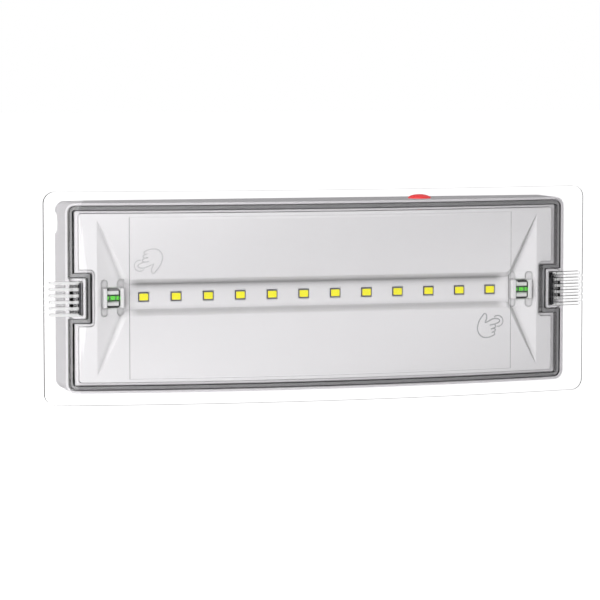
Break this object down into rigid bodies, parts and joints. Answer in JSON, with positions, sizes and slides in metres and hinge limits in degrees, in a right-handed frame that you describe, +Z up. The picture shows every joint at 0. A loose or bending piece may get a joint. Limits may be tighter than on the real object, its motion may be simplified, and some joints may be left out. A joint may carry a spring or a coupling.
{
  "type": "emergency light",
  "caption": "Wall-mounted emergency light with a bowed clear cover, wide clear flange, white reflector trough, a row of diodes, spirit levels and a red test button.",
  "frame": {"origin": "middle of the housing's flat back face, which lies on the wall", "axes": "+X to the right along the long side, +Z up, +Y into the wall, so the light shines towards -Y"},
  "size_m": [0.2924, 0.0444, 0.1094],
  "materials": {
    "housing_white": "fine-grained moulded light grey",
    "reflector_white": "satin white",
    "clear_plastic": "clear, polished",
    "seal_rubber": "dark grey, dull",
    "clip_dark": "dark grey, dull",
    "diode_yellow": "phosphor yellow in a dark frame",
    "strip_white": "white solder mask",
    "level_green": "tinted liquid",
    "button_red": "translucent red",
    "board_green": "green solder mask",
    "black_plastic": "black, fine-grained",
    "screw_steel": "bright zinc",
    "battery_sleeve": "blue shrink film",
    "cell_can": "nickel plated",
    "capacitor_can": "sleeved can",
    "fuse_glass": "glass with plated caps",
    "ferrite_coil": "ferrite and wound copper",
    "terminal_grey": "grey, fine-grained",
    "lamp_green": "small signal diode"
  },
  "bodies": {
    "base": {"base_housing": "housing_white", "perimeter_gasket": "seal_rubber", "latch_clip_left": "clip_dark", "latch_clip_right": "clip_dark", "reflector_tray": "reflector_white", "led_board": "strip_white", "level_vial_left": "clear_plastic", "level_vial_right": "clear_plastic", "level_liquid_left": "level_green", "level_liquid_right": "level_green", "test_switch": "black_plastic", "switch_board": "board_green", "charge_lamp": "lamp_green", "battery_sleeve": "battery_sleeve", "driver_board": "board_green", "board_screws": "screw_steel", "transformer": "ferrite_coil", "mains_capacitor": "capacitor_can", "output_capacitor": "capacitor_can", "fuse": "fuse_glass", "filter_choke": "ferrite_coil", "control_chip": "black_plastic", "strip_socket": "strip_white", "battery_socket": "strip_white", "terminal_block": "terminal_grey", "terminal_screws": "screw_steel", "led_01": "diode_yellow", "led_02": "diode_yellow", "led_03": "diode_yellow", "led_04": "diode_yellow", "led_05": "diode_yellow", "led_06": "diode_yellow", "led_07": "diode_yellow", "led_08": "diode_yellow", "led_09": "diode_yellow", "led_10": "diode_yellow", "led_11": "diode_yellow", "led_12": "diode_yellow", "battery_cell_1": "cell_can", "battery_cell_2": "cell_can", "battery_cell_3": "cell_can"},
    "cover": {"clear_cover": "clear_plastic"},
    "button": {"test_button": "button_red", "switch_plunger": "black_plastic"}
  },
  "joints": [
    {"name": "cover_pull", "type": "slide", "parent": "base", "child": "cover", "axis": [0, -1, 0], "range_m": [0, 0.06]},
    {"name": "button_press", "type": "slide", "parent": "base", "child": "button", "axis": [0, 0, -1], "range_m": [0, 0.0012], "stiffness_N_per_m": 1500, "springref_m": -0.0004}
  ]
}
